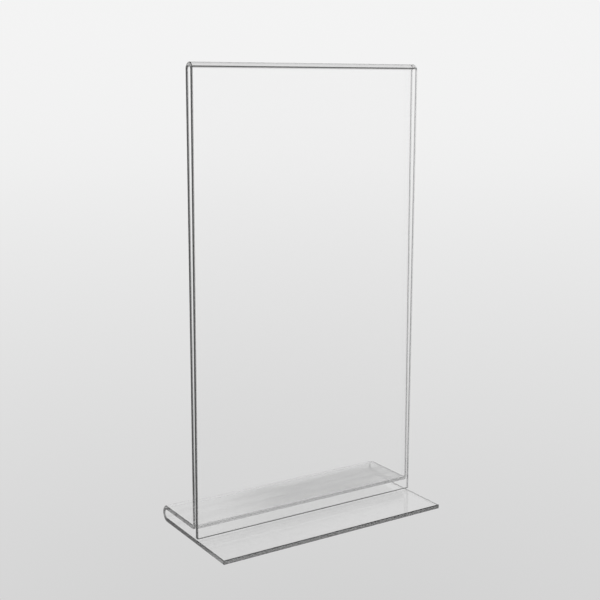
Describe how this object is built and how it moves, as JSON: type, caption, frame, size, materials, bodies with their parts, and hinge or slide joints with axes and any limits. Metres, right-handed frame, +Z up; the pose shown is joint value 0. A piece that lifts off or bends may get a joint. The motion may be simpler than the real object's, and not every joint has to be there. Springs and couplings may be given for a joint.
{
  "type": "clear sheet display stand",
  "caption": "Clear folded-sheet stand: a tall two-pane pocket for a print, open at its sides, on a flat foot with a looped rear shelf.",
  "frame": {"origin": "middle of the footprint, on the surface that the stand rests on", "axes": "+X along the sheet's width, +Y to the rear, where the looped shelf is, +Z up"},
  "size_m": [0.18, 0.0904, 0.322],
  "materials": {
    "clear_acrylic": "water-clear, glossy on the faces, saw-cut and flame-polished on the edges"
  },
  "bodies": {
    "root": {"front_pane": "clear_acrylic", "top_fold": "clear_acrylic", "back_pane": "clear_acrylic", "heel_bend": "clear_acrylic", "shelf": "clear_acrylic", "rear_loop": "clear_acrylic", "base_plate": "clear_acrylic"}
  },
  "joints": []
}
